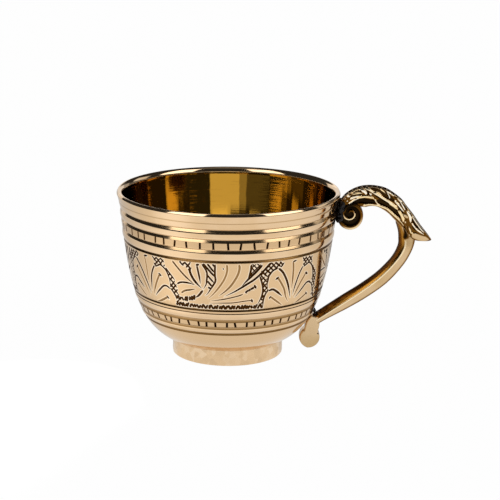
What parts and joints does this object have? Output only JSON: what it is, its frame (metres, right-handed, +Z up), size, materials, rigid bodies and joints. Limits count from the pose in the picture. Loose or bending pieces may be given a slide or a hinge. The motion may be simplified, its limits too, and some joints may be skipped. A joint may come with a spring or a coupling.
{
  "type": "coffee cup",
  "caption": "Small brass coffee cup with a turned, ringed bowl, an engraved leaf frieze, a soldered foot ring and a cast scroll handle with a pointed leaf.",
  "frame": {"origin": "on the table, under the middle of the whole cup's box; the bowl's own axis stands 13.66 mm from it along -X", "axes": "+X from the bowl towards the handle, +Z up, +Y to the far side as the handle points right"},
  "size_m": [0.0935, 0.066, 0.0511],
  "materials": {
    "bowl_brass": "mirror-polished pale brass with dark patina in the engraved lines",
    "foot_brass": "softly polished brass with light hammer marks",
    "foot_solder_grey": "dull solder",
    "handle_brass": "polished cast brass with dark patina in the carved hollows",
    "solder_black": "blackened solder"
  },
  "bodies": {
    "root": {"bowl": "bowl_brass", "foot_ring": "foot_brass", "foot_solder": "foot_solder_grey", "handle": "handle_brass", "scroll_solder_front": "solder_black", "scroll_solder_back": "solder_black", "arm_solder": "solder_black"}
  },
  "joints": []
}
